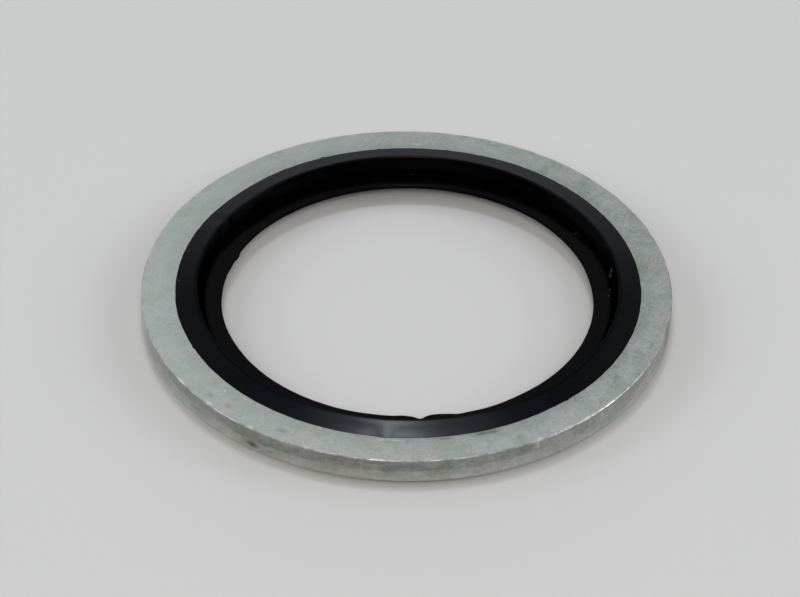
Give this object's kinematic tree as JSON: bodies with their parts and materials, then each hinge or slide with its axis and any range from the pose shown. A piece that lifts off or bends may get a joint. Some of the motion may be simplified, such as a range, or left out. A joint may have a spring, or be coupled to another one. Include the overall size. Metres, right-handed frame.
{
  "type": "bonded sealing washer",
  "caption": "Flat plated steel ring with a moulded rubber seal bonded in its bore; clamped under a pipe fitting's shoulder, its ridges seal and its thin web centres it on the thread.",
  "frame": {"origin": "on the washer's axis, at the height of the lower sealing ridge's crest, on which the washer lies", "axes": "+Z along the washer's axis, upward from the face it lies on; X and Y in the plane of the ring"},
  "size_m": [0.0428, 0.0428, 0.0032],
  "materials": {
    "zinc_plated_steel": "dull zinc plating, mottled grey",
    "black_rubber": "moulded, smooth with a soft sheen"
  },
  "bodies": {
    "root": {"steel_ring": "zinc_plated_steel", "rubber_seal": "black_rubber"}
  },
  "joints": []
}
